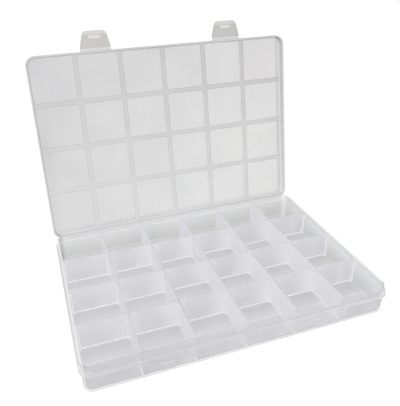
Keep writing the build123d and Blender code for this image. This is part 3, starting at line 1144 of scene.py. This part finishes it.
# ---- Hinge films ----
@dataclass
class Films:
    """The thin strips that bend: one between tray and lid, one between the lid and each latch."""

    hinge: Hinge
    thick: float = 0.45
    length: float = 172.0
    skirt_y: float = 67.5
    inset: float = 0.15
    tray_z: float = 15.72
    lid_z: float = 16.62
    overlap: float = 0.1
    steps: int = 8
    sharp_degrees: float = 50.0

    def make_strip(self, name: str, path: Sequence[Vector], half_length: float, x: float) -> Piece:
        """Draw a strip's cross-section along a path by extruding its end face step by step.

        Args:
            name: the strip's name.
            path: the middle of the strip, as points in metres with no x.
            half_length: half the strip's length along x, in millimetres.
            x: the middle of its length.

        Returns:
            The strip.
        """
        first, second = path[0], path[1]
        along = (second - first).normalized()
        across = Vector((0, -along.z, along.y)) * self.thick * MM / 2
        deselect()
        bpy.ops.mesh.primitive_plane_add(size=1, location=(0, 0, 0))
        strip = bpy.context.object
        strip.name = strip.data.name = name
        side = Vector((half_length * MM, 0, 0))
        shift = Vector((x * MM, 0, 0))
        corners = [(-1, -1), (-1, 1), (1, -1), (1, 1)]
        for vertex, (up, right) in zip(strip.data.vertices, corners):
            vertex.co = first + up * across + right * side + shift
        with editing(strip):
            bpy.ops.mesh.select_all(action="SELECT")
            for index in range(1, len(path)):
                move = path[index] - path[index - 1]
                draw_out(move)
                if index + 1 < len(path):
                    ahead = path[index + 1] - path[index]
                    bend = math.atan2(ahead.z, ahead.y) - math.atan2(move.z, move.y)
                    centre = path[index] + shift
                    bpy.ops.transform.rotate(value=-bend, orient_axis="X", center_override=centre)
            bpy.ops.mesh.select_all(action="SELECT")
            bpy.ops.mesh.normals_make_consistent()
        take_up(strip)
        bpy.ops.object.shade_smooth_by_angle(angle=math.radians(self.sharp_degrees))
        return strip

    def finish_strip(
        self, strip: Piece, finish: Material, node: str, bodies: tuple[str, str]
    ) -> None:
        """Dress a strip and put it in place of its CAD node; it is not joined to the two bodies at its ends.

        Args:
            strip: the strip.
            finish: its material.
            node: the CAD node it stands for.
            bodies: the body at each end.
        """
        dress(strip, [finish])
        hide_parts(node)
        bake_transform(strip)
        LOG.info("%s: bends between %s and %s", strip.name, bodies[0], bodies[1])

    def build(self, latches: Sequence[Latch]) -> None:
        """Build the lid's strip and one for each latch.

        Args:
            latches: the latches.
        """
        hinge_finish, tab_finish = HINGE_FILM.make(), TAB_FILM.make()
        axis = Vector((0, self.hinge.y, self.hinge.z)) * MM
        start = Vector((0, self.skirt_y - self.inset, self.tray_z)) * MM
        end = self.hinge.opened(self.skirt_y - self.inset, self.lid_z)
        half = self.steps // 2
        path = [start.lerp(axis, i / half) for i in range(half)]
        path += [axis.lerp(end, i / half) for i in range(half + 1)]
        strip = self.make_strip("hinge_film_lid", path, self.length / 2, 0.0)
        self.finish_strip(strip, hinge_finish, "lid_hinge_web", ("tray", "lid"))
        for latch in latches:
            z = latch.low + latch.thick / 2
            near, far = latch.skirt_y + self.overlap, latch.skirt_y - latch.start - self.overlap
            ends = [self.hinge.opened(near, z), self.hinge.opened(far, z)]
            path = [ends[0].lerp(ends[1], i / self.steps) for i in range(self.steps + 1)]
            strip = self.make_strip(f"hinge_film_{latch.side}", path, latch.base_width / 2, latch.x)
            bodies = ("lid", f"latch_{latch.side}")
            self.finish_strip(strip, tab_finish, f"latch_{latch.side}_web", bodies)


# ---- Stage ----
@dataclass(frozen=True)
class Viewpoint:
    """The camera: where it stands, how it is turned and what its lens takes in."""

    place_mm: Place = (-99.019, -256.491, 220.739)
    azimuth: float = 18.201
    elevation: float = 27.142
    roll: float = -1.214
    focal_px: float = 484.70
    centre_px: Pair = (186.46, 183.55)
    sensor_mm: float = 36.0
    sees_from: float = 0.01
    sees_to: float = 100.0

    def make(self) -> None:
        """Build the camera and make it the scene's own."""
        azimuth, elevation, roll = (math.radians(a) for a in (self.azimuth, self.elevation, self.roll))
        flat = math.cos(elevation)
        forward = Vector((math.sin(azimuth) * flat, math.cos(azimuth) * flat, -math.sin(elevation)))
        level = forward.cross(Vector((0, 0, 1))).normalized()
        upright = level.cross(forward)
        right = math.cos(roll) * level + math.sin(roll) * upright
        above = math.cos(roll) * upright - math.sin(roll) * level
        data = bpy.data.cameras.new("camera")
        data.sensor_width = self.sensor_mm
        data.lens = self.focal_px / IMAGE_HEIGHT * self.sensor_mm
        data.shift_x = (IMAGE_WIDTH / 2 - self.centre_px[0]) / IMAGE_HEIGHT
        data.shift_y = (self.centre_px[1] - IMAGE_HEIGHT / 2) / IMAGE_HEIGHT
        data.clip_start = self.sees_from
        data.clip_end = self.sees_to
        camera = stand("camera", data)
        turn = Matrix((right, above, -forward)).transposed().to_4x4()
        camera.matrix_world = Matrix.Translation(Vector(self.place_mm) * MM) @ turn
        bpy.context.scene.camera = camera


@dataclass
class Studio:
    """A white floor, a white surround and a soft lamp."""

    floor_size: float = 24.0
    floor_white: float = 0.4
    glow: float = 0.72
    world_strength: float = 0.58
    key_place: Place = (-4.40, -5.20, 3.20)
    key_size: float = 5.2
    key_power: float = 448.0
    key_aim: Place = (0, 0, 0.05)
    bounces: int = 24
    diffuse_bounces: int = 8
    clear_bounces: int = 64

    def make_floor(self) -> None:
        """Build the floor."""
        deselect()
        bpy.ops.mesh.primitive_plane_add(size=self.floor_size, location=(0, 0, 0))
        floor = bpy.context.object
        floor.name = "floor"
        shader = Shader(bpy.data.materials.new("floor_white"))
        paper = shader.add("BsdfDiffuse", Color=(self.floor_white,) * 3).outputs[0]
        rays = shader.add("LightPath").outputs
        seen = shader.math("MAXIMUM", rays["Is Camera Ray"], rays["Is Glossy Ray"])
        seen = shader.math("MAXIMUM", seen, rays["Is Transmission Ray"])
        strength = shader.math("MULTIPLY", seen, self.glow)
        glow = shader.add("Emission", Color=WHITE, Strength=strength).outputs[0]
        both = shader.add("AddShader", paper, glow).outputs[0]
        floor.data.materials.append(shader.finish(both))

    def make_world(self) -> None:
        """Build the surround: pure white to the eye, softer as a light."""
        world = bpy.data.worlds.new("white_surround")
        bpy.context.scene.world = world
        shader = Shader(world)
        rays = shader.add("LightPath").outputs
        glass = shader.math("SUBTRACT", rays["Is Transmission Ray"], rays["Is Diffuse Ray"])
        straight = shader.math("MAXIMUM", rays["Is Camera Ray"], rays["Is Glossy Ray"])
        straight = shader.math("MAXIMUM", straight, glass)
        light, seen = (
            shader.add("Background", Color=WHITE, Strength=strength).outputs[0]
            for strength in (self.world_strength, 1.0)
        )
        shader.finish(shader.mix_shader(straight, light, seen))

    def make_lamp(self) -> None:
        """Hang the square key lamp and point it at the box."""
        data = bpy.data.lights.new("key", "AREA")
        data.size = self.key_size
        data.energy = self.key_power
        lamp = stand("key", data)
        lamp.location = self.key_place
        way = Vector(self.key_aim) - Vector(self.key_place)
        lamp.rotation_euler = way.to_track_quat("-Z", "Y").to_euler()

    def build(self) -> None:
        """Build the floor, the surround and the lamp, and set how far light is followed."""
        self.make_floor()
        self.make_world()
        self.make_lamp()
        cycles = bpy.context.scene.cycles
        cycles.max_bounces = self.bounces
        cycles.diffuse_bounces = self.diffuse_bounces
        cycles.transparent_max_bounces = self.clear_bounces
        bpy.context.scene.view_settings.view_transform = "Standard"


def main() -> None:
    """Build the camera, the stage and each sub-assembly in order."""
    logging.basicConfig(level=logging.INFO, format="%(name)s: %(message)s")
    Viewpoint().make()
    Studio().build()
    hinge = Hinge()
    Tray().build()
    Dividers().build()
    Lid(hinge).build()
    tab_finishes = [finish.make() for finish in (TAB_PLATE, TAB_EDGE, TAB_GRIP, TAB_THIN)]
    latches = [Latch("left", -LATCH_X, hinge), Latch("right", LATCH_X, hinge)]
    for latch in latches:
        latch.build(tab_finishes)
    Films(hinge).build(latches)


if __name__ == "__main__":
    main()
